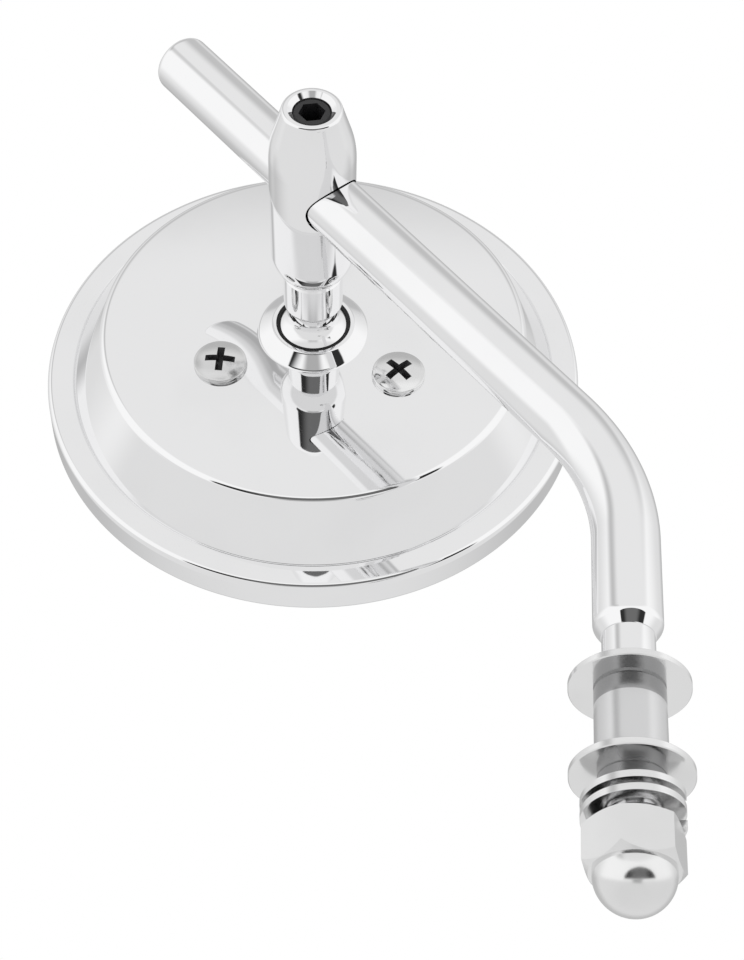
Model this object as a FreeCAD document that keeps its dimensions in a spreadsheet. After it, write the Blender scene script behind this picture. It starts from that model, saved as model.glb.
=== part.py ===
"""Round clamp-on motorcycle mirror, millimetres.

Frame: origin on the stud axis at the middle of the long sleeve, Z up the stud,
glass facing about -Y (the rider), the stem bent in the XZ plane towards +X.
"""
import FreeCAD
import Part
import Sketcher
import math
import os

doc = FreeCAD.newDocument("round_mirror")
sheet = doc.addObject("Spreadsheet::Sheet", "Sizes")

SIZES = [
    ("stud_dia", 8.0, "stud of the stem"),
    ("rod_dia", 10.6, "bar of the stem"),
    ("slack", 8.35, "bare stud between upper washer and shoulder"),
    ("leg_len", 32.05, "shoulder to bend corner"),
    ("bend_angle", 42.3, "turn of the bar"),
    ("bend_radius", 35.0, "centreline radius of the bend"),
    ("rod_len", 119.0, "bend corner to rod end"),
    ("rod_end_round", 1.6, "rounding of the rod end"),
    ("shoulder_rise", 1.9, "height of the cone at the leg's end"),
    ("shoulder_in", 1.2, "cone at the leg's end, inwards"),
    ("shoulder_round", 2.0, "rounding where that cone starts"),
    ("stud_grip", 7.95, "stud inside the nut"),
    ("stud_bevel", 0.8, "bevel of the stud end"),
    ("washer_dia", 18.0, "flat washers"),
    ("washer_thick", 1.2, "flat washers"),
    ("edge_break", 0.15, "broken edges of the small turned rings"),
    ("loose_gap", 0.3, "loose hole around the stud, radial"),
    ("sleeve_dia", 10.6, "long sleeve outside"),
    ("sleeve_len", 13.9, "long sleeve"),
    ("sleeve_bevel", 0.35, "long sleeve upper end bevel"),
    ("rest_gap", 0.05, "between the long sleeve and the loose nut set"),
    ("spacer_dia", 9.9, "short sleeve outside"),
    ("spacer_len", 2.7, "short sleeve"),
    ("lock_dia", 14.8, "spring washer outside"),
    ("lock_thick", 1.1, "spring washer turn"),
    ("lock_space", 5.3, "room the two turns of the spring washer take"),
    ("lock_start_angle", 165.0, "where its coil starts on the nut, from X"),
    ("nut_flats", 13.0, "nut across flats"),
    ("nut_hex_height", 7.2, "nut hexagon"),
    ("nut_corner_cut", 0.6, "height of the corner chamfers at the bearing face"),
    ("nut_dome_cut", 1.2, "height of the corner chamfers at the dome"),
    ("nut_turn_angle", 4.5, "first corner of the nut from X"),
    ("nut_face_edge", 0.1, "corner chamfer inside the flats"),
    ("nut_neck_height", 0.1, "plain neck under the dome"),
    ("nut_dome_radius", 5.9, "dome of the nut"),
    ("nut_bore_spare", 1.55, "blind hole of the nut past the stud end"),
    ("thread_gap", 0.05, "radial gap of threaded pairs"),
    ("cut_past", 1.0, "how far a cut runs past a face"),
    ("thread_lead", 0.5, "bevel at the end of a threaded shank"),
    ("set_top_bevel", 0.3, "bevel at the set screw top"),
    ("bezel_front_round", 0.8, "rounding of the rim's front edge"),
    ("bezel_top_round", 1.2, "rounding of the rim's rear edge"),
    ("bezel_lip_round", 0.4, "rounding of the lip's inner edge"),
    ("clamp_at", 79.5, "bend corner to clamp axis"),
    ("clamp_angle", 6.8, "turn of the clamp about the rod"),
    ("barrel_dia", 15.2, "clamp barrel"),
    ("barrel_up", 18.1, "rod axis to barrel top"),
    ("barrel_down", 22.3, "rod axis to barrel lower end"),
    ("barrel_cone", 8.8, "height of the top cone"),
    ("barrel_top_dia", 10.2, "top face of the cone"),
    ("barrel_end_dia", 10.1, "barrel where the end bevel starts"),
    ("barrel_end_rise", 2.8, "height of the lower taper"),
    ("barrel_end_bevel", 0.35, "height of the end bevel"),
    ("barrel_bevel_in", 0.15, "end bevel, inwards"),
    ("barrel_round", 20.0, "rounding where the cone starts"),
    ("barrel_end_round", 7.3, "rounding of the lower taper"),
    ("barrel_top_round", 0.8, "rounding of the top face"),
    ("rod_gap", 0.25, "rod in the cross hole, radial"),
    ("set_dia", 6.6, "set screw"),
    ("set_recess", 0.9, "set screw below the top face"),
    ("set_lift", 0.2, "set screw point above the rod"),
    ("set_key", 4.0, "hexagon socket across flats"),
    ("set_key_depth", 4.0, "hexagon socket depth"),
    ("set_bevel", 0.8, "mouth of the set screw hole"),
    ("shank_dia", 8.0, "threaded shank of the ball stud"),
    ("shank_len", 10.0, "threaded shank of the ball stud"),
    ("shank_spare", 1.5, "hole deeper than the shank"),
    ("collar_dia", 10.9, "collar of the ball stud"),
    ("collar_bevel", 0.3, "bevel at the collar top"),
    ("collar_foot", 1.1, "rounding at the collar foot"),
    ("neck_dia", 8.4, "neck above the ball"),
    ("neck_len", 3.9, "straight neck from the ball to the collar"),
    ("neck_round", 3.0, "hollow rounding between neck and ball"),
    ("ball_radius", 8.0, "ball"),
    ("ball_gap", 0.05, "each side of the liner"),
    ("liner_thick", 0.5, "liner wall"),
    ("liner_top_angle", 36.0, "liner upper edge, latitude"),
    ("liner_low_angle", 48.0, "liner lower edge, latitude"),
    ("ball_deep", 2.96, "ball centre below the plate"),
    ("post_len", 38.86, "rod axis to the plate"),
    ("rim_dia", 101.6, "outside of the rim"),
    ("rim_height", 6.8, "side of the rim"),
    ("rim_thick", 0.9, "bezel sheet"),
    ("rim_lip", 5.0, "flat top of the rim, inwards"),
    ("rim_front_lip", 4.3, "front lip over the glass"),
    ("lip_slant", 0.45, "lean of the lip's inner edge"),
    ("part_gap", 0.05, "between stacked pieces in the rim"),
    ("plate_height", 17.97, "plate above the front of the rim"),
    ("plate_dia", 79.3, "edge of the flat plate"),
    ("wall_foot_dia", 91.2, "conical wall at the rim top"),
    ("plate_round", 1.6, "rounding at the plate edge"),
    ("sheet_thick", 1.05, "shell sheet"),
    ("seat_dia", 20.4, "foot of the raised ball seat"),
    ("seat_height", 2.1, "raised ball seat"),
    ("seat_hole_dia", 13.9, "hole for the ball"),
    ("seat_lip", 0.7, "flat lip around the hole"),
    ("seat_lip_round", 0.7, "rounding of that lip"),
    ("seat_foot_round", 1.0, "hollow rounding around the seat"),
    ("flange_side_gap", 0.4, "shell flange to the bezel side"),
    ("glass_side_gap", 0.5, "glass edge to the bezel side"),
    ("gasket_thick", 0.65, "gasket"),
    ("gasket_inset", 0.3, "gasket to the shell wall"),
    ("retainer_dia", 50.0, "retainer plate"),
    ("retainer_thick", 2.6, "retainer plate"),
    ("retainer_drop", 3.8, "ball centre to retainer top"),
    ("retainer_hole_dia", 11.0, "middle hole of the retainer"),
    ("screw_circle", 38.2, "circle of the three screws"),
    ("screw_angle", 77.5, "first screw from the rod direction"),
    ("screw_dia", 5.0, "retainer screws"),
    ("screw_head_dia", 9.8, "retainer screw heads"),
    ("screw_head_height", 1.8, "retainer screw heads"),
    ("screw_head_round", 1.1, "rounding of the heads"),
    ("screw_len", 10.4, "under the head"),
    ("screw_slot", 1.3, "cross recess width"),
    ("screw_cross", 5.6, "cross recess length"),
    ("screw_cross_depth", 1.3, "cross recess depth"),
]

for row, (name, number, note) in enumerate(SIZES, start=1):
    sheet.set("A%d" % row, name)
    sheet.set("B%d" % row, repr(number))
    sheet.set("C%d" % row, note)
    sheet.setAlias("B%d" % row, name)
doc.recompute()


class Val:
    """A number together with the expression that gives it from the sheet."""

    def __init__(self, num, text):
        self.num = num
        self.text = text

    def __add__(self, other):
        other = as_val(other)
        return Val(self.num + other.num, "(%s + %s)" % (self.text, other.text))

    __radd__ = __add__

    def __sub__(self, other):
        other = as_val(other)
        return Val(self.num - other.num, "(%s - %s)" % (self.text, other.text))

    def __rsub__(self, other):
        return as_val(other) - self

    def __mul__(self, other):
        other = as_val(other)
        return Val(self.num * other.num, "(%s * %s)" % (self.text, other.text))

    __rmul__ = __mul__

    def __truediv__(self, other):
        other = as_val(other)
        return Val(self.num / other.num, "(%s / %s)" % (self.text, other.text))

    def __neg__(self):
        return Val(-self.num, "(0 - %s)" % self.text)


def as_val(item):
    return item if isinstance(item, Val) else Val(float(item), repr(float(item)))


def size(name):
    return Val(float(sheet.get(name)), "Sizes.%s" % name)


def sine(angle):
    return Val(math.sin(math.radians(angle.num)), "sin(%s)" % angle.text)


def cosine(angle):
    return Val(math.cos(math.radians(angle.num)), "cos(%s)" % angle.text)


def tangent(angle):
    return Val(math.tan(math.radians(angle.num)), "tan(%s)" % angle.text)


def root(item):
    return Val(math.sqrt(item.num), "sqrt(%s)" % item.text)


def bind(obj, prop, item):
    obj.setExpression(prop, as_val(item).text)


NODES = []


def new_body(name):
    body = doc.addObject("PartDesign::Body", name)
    body.Label = name
    NODES.append(body)
    return body


def plane_of(body, role):
    for feature in body.Origin.OriginFeatures:
        if feature.Role == role:
            return feature
    raise ValueError(role)


def new_sketch(body, role, name):
    sketch = body.newObject("Sketcher::SketchObject", name)
    sketch.AttachmentSupport = [(plane_of(body, role), "")]
    sketch.MapMode = "FlatFace"
    return sketch


def pin(sketch, geo, pos, across, up):
    """Hold one sketch point at two sheet values measured from the origin."""
    across = as_val(across)
    up = as_val(up)
    for kind, axis, item in (("DistanceX", -2, across), ("DistanceY", -1, up)):
        if item.num == 0.0:
            sketch.addConstraint(Sketcher.Constraint("PointOnObject", geo, pos, axis))
            continue
        index = sketch.addConstraint(Sketcher.Constraint(kind, -1, 1, geo, pos, item.num))
        sketch.setExpression("Constraints[%d]" % index, item.text)


def vec(across, up):
    return FreeCAD.Vector(as_val(across).num, as_val(up).num, 0)


def outline(sketch, points):
    """Closed outline of straight lines with every corner held by sheet values."""
    first = sketch.GeometryCount
    count = len(points)
    for index in range(count):
        here = points[index]
        there = points[(index + 1) % count]
        sketch.addGeometry(Part.LineSegment(vec(*here), vec(*there)), False)
    for index in range(count):
        after = first + (index + 1) % count
        sketch.addConstraint(Sketcher.Constraint("Coincident", first + index, 2, after, 1))
    for index in range(count):
        pin(sketch, first + index, 1, *points[index])


def circle(sketch, radius, across=0, up=0):
    radius = as_val(radius)
    geo = sketch.addGeometry(Part.Circle(vec(across, up), FreeCAD.Vector(0, 0, 1), radius.num), False)
    pin(sketch, geo, 3, across, up)
    index = sketch.addConstraint(Sketcher.Constraint("Radius", geo, radius.num))
    sketch.setExpression("Constraints[%d]" % index, radius.text)


def revolve(body, points, name):
    sketch = new_sketch(body, "XZ_Plane", name + "_outline")
    outline(sketch, points)
    feature = body.newObject("PartDesign::Revolution", name)
    feature.Profile = sketch
    feature.ReferenceAxis = (sketch, ["V_Axis"])
    feature.Angle = 360.0
    sketch.Visibility = False
    doc.recompute()
    return feature


def edges_at(feature, radius, height):
    """Names of the circular edges with this radius around Z at this height."""
    found = []
    for index, edge in enumerate(feature.Shape.Edges, start=1):
        if edge.Degenerated or not isinstance(edge.Curve, Part.Circle):
            continue
        middle = edge.Curve.Center
        close = abs(middle.z - as_val(height).num) < 1e-3
        if close and abs(edge.Curve.Radius - as_val(radius).num) < 1e-3:
            if math.hypot(middle.x, middle.y) < 1e-3:
                found.append("Edge%d" % index)
    if not found:
        raise ValueError("no edge on " + feature.Label)
    return found


def rounding(body, base, radius, height, amount, name):
    feature = body.newObject("PartDesign::Fillet", name)
    feature.Base = (base, edges_at(base, radius, height))
    bind(feature, "Radius", amount)
    doc.recompute()
    return feature


def bevel(body, base, edges, amount, name):
    feature = body.newObject("PartDesign::Chamfer", name)
    feature.Base = (base, edges)
    bind(feature, "Size", amount)
    doc.recompute()
    return feature


def sphere_cut(body, radius, height, name):
    feature = body.newObject("PartDesign::SubtractiveSphere", name)
    bind(feature, "Radius", radius)
    feature.AttachmentSupport = [(plane_of(body, "XY_Plane"), "")]
    feature.MapMode = "FlatFace"
    bind(feature, "AttachmentOffset.Base.z", height)
    doc.recompute()
    return feature


def place(obj, base, turns):
    """Placement from sheet values: a base point and turns in order, outermost first."""
    parts = []
    for axis, angle in turns:
        parts.append("rotation(vector(%s); %s)" % (axis, as_val(angle).text))
    turn = " * ".join(parts) if parts else "rotation(vector(0; 0; 1); 0)"
    spot = "; ".join(as_val(item).text for item in base)
    obj.setExpression("Placement", "placement(vector(%s); %s)" % (spot, turn))
    doc.recompute()


X_AXIS = "1; 0; 0"
Y_AXIS = "0; 1; 0"
Z_AXIS = "0; 0; 1"

stud_r = size("stud_dia") / 2
rod_r = size("rod_dia") / 2
hole_r = stud_r + size("loose_gap")
thread_r = stud_r + size("thread_gap")
bend = size("bend_angle")
seat_z = size("sleeve_len") / 2
shoulder_z = seat_z + size("washer_thick") + size("slack")
corner_z = shoulder_z + size("leg_len")
sleeve_end = -seat_z
washer_end = sleeve_end - size("rest_gap") - size("washer_thick")
spacer_end = washer_end - size("spacer_len")
nut_base = spacer_end - size("lock_space")
stud_low = nut_base - size("stud_grip")

# Stem: bar swept along its bent centreline, then the turned-down stud.
stem = new_body("stem")
path = new_sketch(stem, "XZ_Plane", "stem_path")
setback = size("bend_radius") * tangent(bend / 2)
leg_top = corner_z - setback
arc_x = setback * sine(bend)
arc_z = corner_z + setback * cosine(bend)
end_x = size("rod_len") * sine(bend)
end_z = corner_z + size("rod_len") * cosine(bend)
path.addGeometry(Part.LineSegment(vec(0, shoulder_z), vec(0, leg_top)), False)
bend_r = size("bend_radius").num
arc_circle = Part.Circle(vec(bend_r, leg_top), FreeCAD.Vector(0, 0, 1), bend_r)
path.addGeometry(Part.ArcOfCircle(arc_circle, math.pi - math.radians(bend.num), math.pi), False)
path.addGeometry(Part.LineSegment(vec(arc_x, arc_z), vec(end_x, end_z)), False)
path.addConstraint(Sketcher.Constraint("Coincident", 0, 2, 1, 2))
path.addConstraint(Sketcher.Constraint("Coincident", 1, 1, 2, 1))
pin(path, 0, 1, 0, shoulder_z)
pin(path, 0, 2, 0, leg_top)
pin(path, 2, 1, arc_x, arc_z)
pin(path, 2, 2, end_x, end_z)
radius_index = path.addConstraint(Sketcher.Constraint("Radius", 1, bend_r))
path.setExpression("Constraints[%d]" % radius_index, size("bend_radius").text)
doc.recompute()
section = new_sketch(stem, "XY_Plane", "stem_section")
circle(section, rod_r)
bind(section, "AttachmentOffset.Base.z", shoulder_z)
doc.recompute()
bar = stem.newObject("PartDesign::AdditivePipe", "stem_bar")
bar.Profile = section
bar.Spine = (path, ["Edge1", "Edge2", "Edge3"])
bar.Refine = True
path.Visibility = False
section.Visibility = False
doc.recompute()


def far_edges(feature, spot, radius):
    found = []
    for index, edge in enumerate(feature.Shape.Edges, start=1):
        if isinstance(edge.Curve, Part.Circle) and abs(edge.Curve.Radius - radius) < 1e-3:
            if edge.Curve.Center.distanceToPoint(spot) < 1e-2:
                found.append("Edge%d" % index)
    return found


rod_end = FreeCAD.Vector(end_x.num, 0, end_z.num)
tip = stem.newObject("PartDesign::Fillet", "stem_end_round")
tip.Base = (bar, far_edges(bar, rod_end, rod_r.num))
bind(tip, "Radius", size("rod_end_round"))
doc.recompute()
cone_in = rod_r - size("shoulder_in")
cone_out = rod_r + size("cut_past")
cone_top = shoulder_z + size("shoulder_rise")
cone_slope = size("shoulder_rise") * (cone_out - cone_in) / size("shoulder_in")
shoulder_sketch = new_sketch(stem, "XZ_Plane", "stem_shoulder_outline")
outline(shoulder_sketch, [(cone_in, shoulder_z), (cone_out, shoulder_z), (cone_out, shoulder_z + cone_slope)])
shoulder = stem.newObject("PartDesign::Groove", "stem_shoulder")
shoulder.Profile = shoulder_sketch
shoulder.ReferenceAxis = (shoulder_sketch, ["V_Axis"])
shoulder.Angle = 360.0
shoulder_sketch.Visibility = False
doc.recompute()
rounding(stem, shoulder, rod_r, cone_top, size("shoulder_round"), "stem_shoulder_round")
stud_sketch = new_sketch(stem, "XY_Plane", "stem_stud_section")
circle(stud_sketch, stud_r)
bind(stud_sketch, "AttachmentOffset.Base.z", shoulder_z)
stud = stem.newObject("PartDesign::Pad", "stem_stud")
stud.Profile = stud_sketch
bind(stud, "Length", shoulder_z - stud_low)
stud.Reversed = True
stud_sketch.Visibility = False
doc.recompute()
stud_end = FreeCAD.Vector(0, 0, stud_low.num)
bevel(stem, stud, far_edges(stud, stud_end, stud_r.num), size("stud_bevel"), "stem_stud_end")

# Hardware on the stud, each built upwards from its own base.
washer_r = size("washer_dia") / 2
washer_t = size("washer_thick")


def flat_ring(name, inner, outer, height, low_cut, top_cut):
    body = new_body(name)
    points = [
        (inner, 0),
        (outer - low_cut, 0),
        (outer, low_cut),
        (outer, height - top_cut),
        (outer - top_cut, height),
        (inner, height),
    ]
    revolve(body, points, name + "_ring")
    return body


thin = size("edge_break")
sleeve_r = size("sleeve_dia") / 2
spacer_r = size("spacer_dia") / 2
upper_washer = flat_ring("upper_washer", hole_r, washer_r, washer_t, thin, thin)
long_sleeve = flat_ring("long_sleeve", hole_r, sleeve_r, size("sleeve_len"), thin, size("sleeve_bevel"))
lower_washer = flat_ring("lower_washer", hole_r, washer_r, washer_t, thin, thin)
short_sleeve = flat_ring("short_sleeve", hole_r, spacer_r, size("spacer_len"), thin, thin)
place(upper_washer, (0, 0, seat_z), [])
place(long_sleeve, (0, 0, sleeve_end), [])
place(lower_washer, (0, 0, washer_end), [])
place(short_sleeve, (0, 0, spacer_end), [])

# Spring washer: a flat bar coiled twice around the stud, from the nut up to the short sleeve.
lock_r = size("lock_dia") / 2
lock_turn = [(Z_AXIS, size("lock_start_angle"))]
coil_bar = doc.addObject("Sketcher::SketchObject", "lock_section")
outline(coil_bar, [
    (hole_r, 0),
    (lock_r, 0),
    (lock_r, size("lock_thick")),
    (hole_r, size("lock_thick")),
])
coil_bar.Visibility = False
place(coil_bar, (0, 0, nut_base), lock_turn + [(X_AXIS, as_val(90))])
coil = doc.addObject("Part::Helix", "lock_path")
bind(coil, "Radius", (hole_r + lock_r) / 2)
bind(coil, "Pitch", (size("lock_space") - size("lock_thick")) / 2)
bind(coil, "Height", size("lock_space") - size("lock_thick"))
coil.Visibility = False
place(coil, (0, 0, nut_base + size("lock_thick") / 2), lock_turn)
lock_washer = doc.addObject("Part::Sweep", "lock_washer")
lock_washer.Sections = [coil_bar]
lock_washer.Spine = (coil, [])
lock_washer.Solid = True
lock_washer.Frenet = True
lock_washer.Label = "lock_washer"
NODES.append(lock_washer)
doc.recompute()

# Domed nut, built upwards from its bearing face and turned over.
acorn_nut = new_body("acorn_nut")
hexagon = new_sketch(acorn_nut, "XY_Plane", "nut_hexagon")
half = size("nut_flats") / 2
corner = half * 2 / root(as_val(3))
outline(hexagon, [
    (corner, 0),
    (corner / 2, half),
    (-corner / 2, half),
    (-corner, 0),
    (-corner / 2, -half),
    (corner / 2, -half),
])
block = acorn_nut.newObject("PartDesign::Pad", "nut_block")
block.Profile = hexagon
bind(block, "Length", size("nut_hex_height"))
hexagon.Visibility = False
doc.recompute()
cut_in = half - size("nut_face_edge")
cut_out = corner + size("cut_past")
for name, low, high in (
    ("nut_lower_corners", as_val(0), size("nut_corner_cut")),
    ("nut_upper_corners", size("nut_hex_height"), size("nut_hex_height") - size("nut_dome_cut")),
):
    corners = new_sketch(acorn_nut, "XZ_Plane", name + "_outline")
    slope = (high - low) * (cut_out - cut_in) / (corner - cut_in)
    outline(corners, [(cut_in, low), (cut_out, low), (cut_out, low + slope)])
    groove = acorn_nut.newObject("PartDesign::Groove", name)
    groove.Profile = corners
    groove.ReferenceAxis = (corners, ["V_Axis"])
    groove.Angle = 360.0
    corners.Visibility = False
    doc.recompute()
dome_r = size("nut_dome_radius")
dome_z = size("nut_hex_height") + size("nut_neck_height")
neck_low = size("nut_hex_height") / 2
revolve(acorn_nut, [(0, neck_low), (dome_r, neck_low), (dome_r, dome_z), (0, dome_z)], "nut_neck")
dome = acorn_nut.newObject("PartDesign::AdditiveSphere", "nut_dome")
bind(dome, "Radius", dome_r)
dome.AttachmentSupport = [(plane_of(acorn_nut, "XY_Plane"), "")]
dome.MapMode = "FlatFace"
bind(dome, "AttachmentOffset.Base.z", dome_z)
doc.recompute()
bore = new_sketch(acorn_nut, "XY_Plane", "nut_bore_outline")
circle(bore, thread_r)
hole = acorn_nut.newObject("PartDesign::Pocket", "nut_bore")
hole.Profile = bore
hole.Reversed = True
bind(hole, "Length", size("stud_grip") + size("nut_bore_spare"))
bore.Visibility = False
doc.recompute()
place(acorn_nut, (0, 0, nut_base), [(Z_AXIS, size("nut_turn_angle")), (X_AXIS, as_val(180))])

# Clamp and head share one frame: X along the rod, Z from the glass to the barrel top.
clamp_x = size("clamp_at") * sine(bend)
clamp_z = corner_z + size("clamp_at") * cosine(bend)
lean = bend - 90
roll = -size("clamp_angle") - 90
POST = [(Y_AXIS, lean), (X_AXIS, roll)]


def along_post(height):
    """Point on the post axis, height measured up from the rod axis."""
    turn = size("clamp_angle")
    across = sine(turn) * cosine(bend) * height
    out = cosine(turn) * height
    down = sine(turn) * sine(bend) * height
    return (clamp_x + across, out, clamp_z - down)


barrel_r = size("barrel_dia") / 2
set_r = size("set_dia") / 2
set_hole_r = set_r + size("thread_gap")
shank_r = size("shank_dia") / 2
shank_hole_r = shank_r + size("thread_gap")
up = size("barrel_up")
down = -size("barrel_down")
shank_top = down + size("shank_len")
hole_top = shank_top + size("shank_spare")
cone_z = up - size("barrel_cone")
taper_z = down + size("barrel_end_rise")
top_r = size("barrel_top_dia") / 2
end_r = size("barrel_end_dia") / 2

clamp_barrel = new_body("clamp_barrel")
body_turn = revolve(clamp_barrel, [
    (0, 0),
    (set_hole_r, 0),
    (set_hole_r, up - size("set_bevel")),
    (set_hole_r + size("set_bevel"), up),
    (top_r, up),
    (barrel_r, cone_z),
    (barrel_r, taper_z),
    (end_r, down + size("barrel_end_bevel")),
    (end_r - size("barrel_bevel_in"), down),
    (shank_hole_r, down),
    (shank_hole_r, hole_top),
    (0, hole_top),
], "barrel_turning")
rounded = rounding(clamp_barrel, body_turn, barrel_r, cone_z, size("barrel_round"), "barrel_cone_round")
rounded = rounding(clamp_barrel, rounded, barrel_r, taper_z, size("barrel_end_round"), "barrel_end_round_off")
rounded = rounding(clamp_barrel, rounded, top_r, up, size("barrel_top_round"), "barrel_top_round_off")
cross = new_sketch(clamp_barrel, "YZ_Plane", "rod_hole_outline")
circle(cross, rod_r + size("rod_gap"))
rod_hole = clamp_barrel.newObject("PartDesign::Pocket", "rod_hole")
rod_hole.Profile = cross
rod_hole.Type = 1
rod_hole.Midplane = True
cross.Visibility = False
doc.recompute()
place(clamp_barrel, along_post(as_val(0)), POST)

# Set screw: point just above the rod, hexagon socket in its top.
set_screw = new_body("set_screw")
set_len = up - size("set_recess") - rod_r - size("set_lift")
point_cut = set_r * 0.35
revolve(set_screw, [
    (0, 0),
    (set_r - point_cut, 0),
    (set_r, point_cut),
    (set_r, set_len - size("set_top_bevel")),
    (set_r - size("set_top_bevel"), set_len),
    (0, set_len),
], "set_screw_turning")
socket = new_sketch(set_screw, "XY_Plane", "set_screw_socket")
key_half = size("set_key") / 2
key_corner = key_half * 2 / root(as_val(3))
outline(socket, [
    (key_corner, 0),
    (key_corner / 2, key_half),
    (-key_corner / 2, key_half),
    (-key_corner, 0),
    (-key_corner / 2, -key_half),
    (key_corner / 2, -key_half),
])
bind(socket, "AttachmentOffset.Base.z", set_len)
keyway = set_screw.newObject("PartDesign::Pocket", "set_screw_key")
keyway.Profile = socket
bind(keyway, "Length", size("set_key_depth"))
socket.Visibility = False
doc.recompute()
place(set_screw, along_post(rod_r + size("set_lift")), POST)

# Ball stud, heights measured up from the ball centre.
ball_r = size("ball_radius")
ball_low = size("post_len") + size("ball_deep")
shank_hi = shank_top + ball_low
collar_hi = down + ball_low
collar_r = size("collar_dia") / 2
neck_r = size("neck_dia") / 2
neck_foot = root(ball_r * ball_r - neck_r * neck_r)
collar_lo = neck_foot + size("neck_len")
ball_stud = new_body("ball_stud")
stud_turn = revolve(ball_stud, [
    (0, ball_r / 4),
    (neck_r, ball_r / 4),
    (neck_r, collar_lo),
    (collar_r, collar_lo),
    (collar_r, collar_hi - size("collar_bevel")),
    (collar_r - size("collar_bevel"), collar_hi),
    (shank_r, collar_hi),
    (shank_r, shank_hi - size("thread_lead")),
    (shank_r - size("thread_lead"), shank_hi),
    (0, shank_hi),
], "ball_stud_turning")
rounding(ball_stud, stud_turn, collar_r, collar_lo, size("collar_foot"), "collar_foot_round")
ball = ball_stud.newObject("PartDesign::AdditiveSphere", "ball")
bind(ball, "Radius", ball_r)
ball.AttachmentSupport = [(plane_of(ball_stud, "XY_Plane"), "")]
ball.MapMode = "FlatFace"
doc.recompute()
rounding(ball_stud, ball, neck_r, neck_foot, size("neck_round"), "neck_hollow")
place(ball_stud, along_post(-ball_low), POST)

# Liner: a zone of a hollow sphere around the ball.
liner_in = ball_r + size("ball_gap")
liner_out = liner_in + size("liner_thick")
seat_r = liner_out + size("ball_gap")
ball_liner = new_body("ball_liner")
zone = ball_liner.newObject("PartDesign::AdditiveSphere", "liner_zone")
bind(zone, "Radius", liner_out)
bind(zone, "Angle1", -size("liner_low_angle"))
bind(zone, "Angle2", size("liner_top_angle"))
doc.recompute()
sphere_cut(ball_liner, liner_in, as_val(0), "liner_inside")
place(ball_liner, along_post(-ball_low), POST)

# Mirror head, heights measured up from the front of the rim.
head_low = size("post_len") + size("plate_height")
plate_z = size("plate_height")
plate_r = size("plate_dia") / 2
foot_r = size("wall_foot_dia") / 2
rim_r = size("rim_dia") / 2
rim_z = size("rim_height")
rim_t = size("rim_thick")
gap = size("part_gap")
sheet_t = size("sheet_thick")
ball_z = plate_z - size("ball_deep")
flange_top = rim_z - rim_t - gap
flange_low = flange_top - sheet_t
flange_r = rim_r - rim_t - size("flange_side_gap")
wall_lean = (foot_r - plate_r) / (plate_z - rim_z)
wall_across = sheet_t * root(as_val(1) + wall_lean * wall_lean)
seat_foot_r = size("seat_dia") / 2
seat_hole_r = size("seat_hole_dia") / 2
seat_top = plate_z + size("seat_height")
plate_under = plate_z - sheet_t

flange_in = foot_r + wall_lean * (rim_z - flange_low) - wall_across
mirror_shell = new_body("mirror_shell")
shell_turn = revolve(mirror_shell, [
    (seat_hole_r, plate_under),
    (plate_r + wall_lean * sheet_t - wall_across, plate_under),
    (flange_in, flange_low),
    (flange_r, flange_low),
    (flange_r, flange_top),
    (foot_r + wall_lean * (rim_z - flange_top), flange_top),
    (plate_r, plate_z),
    (seat_foot_r, plate_z),
    (seat_hole_r + size("seat_lip"), seat_top),
    (seat_hole_r, seat_top),
], "shell_spinning")
shell_edge = rounding(mirror_shell, shell_turn, plate_r, plate_z, size("plate_round"), "shell_edge_round")
seat_lip_r = seat_hole_r + size("seat_lip")
shell_edge = rounding(mirror_shell, shell_edge, seat_foot_r, plate_z, size("seat_foot_round"), "seat_foot_hollow")
rounding(mirror_shell, shell_edge, seat_lip_r, seat_top, size("seat_lip_round"), "seat_lip_round_off")
sphere_cut(mirror_shell, seat_r, ball_z, "ball_seat")


def three_holes(body, radius, top, thick, name):
    """One hole on the screw circle, patterned to three."""
    past = size("cut_past")
    sketch = new_sketch(body, "XY_Plane", name + "_outline")
    far = size("screw_circle") / 2
    turn = size("screw_angle")
    circle(sketch, radius, far * cosine(turn), far * sine(turn))
    bind(sketch, "AttachmentOffset.Base.z", top + past)
    pocket = body.newObject("PartDesign::Pocket", name)
    pocket.Profile = sketch
    pocket.Type = 0
    bind(pocket, "Length", thick + past * 2)
    sketch.Visibility = False
    doc.recompute()
    pattern = body.newObject("PartDesign::PolarPattern", name + "_three")
    pattern.Originals = [pocket]
    pattern.Axis = (pattern_axis(body), [""])
    pattern.Angle = 360.0
    pattern.Occurrences = 3
    body.Tip = pattern
    doc.recompute()
    return pattern


screw_r = size("screw_dia") / 2


def pattern_axis(body):
    for feature in body.Origin.OriginFeatures:
        if feature.Role == "Z_Axis":
            return feature
    raise ValueError(body.Label)


def screw_holes(body, radius, top, thick, name):
    pattern = three_holes(body, radius, top, thick, name)
    doc.recompute()


screw_holes(mirror_shell, screw_r + size("loose_gap"), plate_z, sheet_t, "shell_screw_holes")
place(mirror_shell, along_post(-head_low), POST)

retainer_plate = new_body("retainer_plate")
retainer_top = ball_z - size("retainer_drop")
retainer_low = retainer_top - size("retainer_thick")
retainer_r = size("retainer_dia") / 2
retainer_in = size("retainer_hole_dia") / 2
revolve(retainer_plate, [
    (retainer_in, retainer_low),
    (retainer_r, retainer_low),
    (retainer_r, retainer_top),
    (retainer_in, retainer_top),
], "retainer_disc")
sphere_cut(retainer_plate, seat_r, ball_z, "retainer_cup")
screw_holes(retainer_plate, screw_r + size("thread_gap"), retainer_top, size("retainer_thick"), "tapped_holes")
place(retainer_plate, along_post(-head_low), POST)

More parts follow.
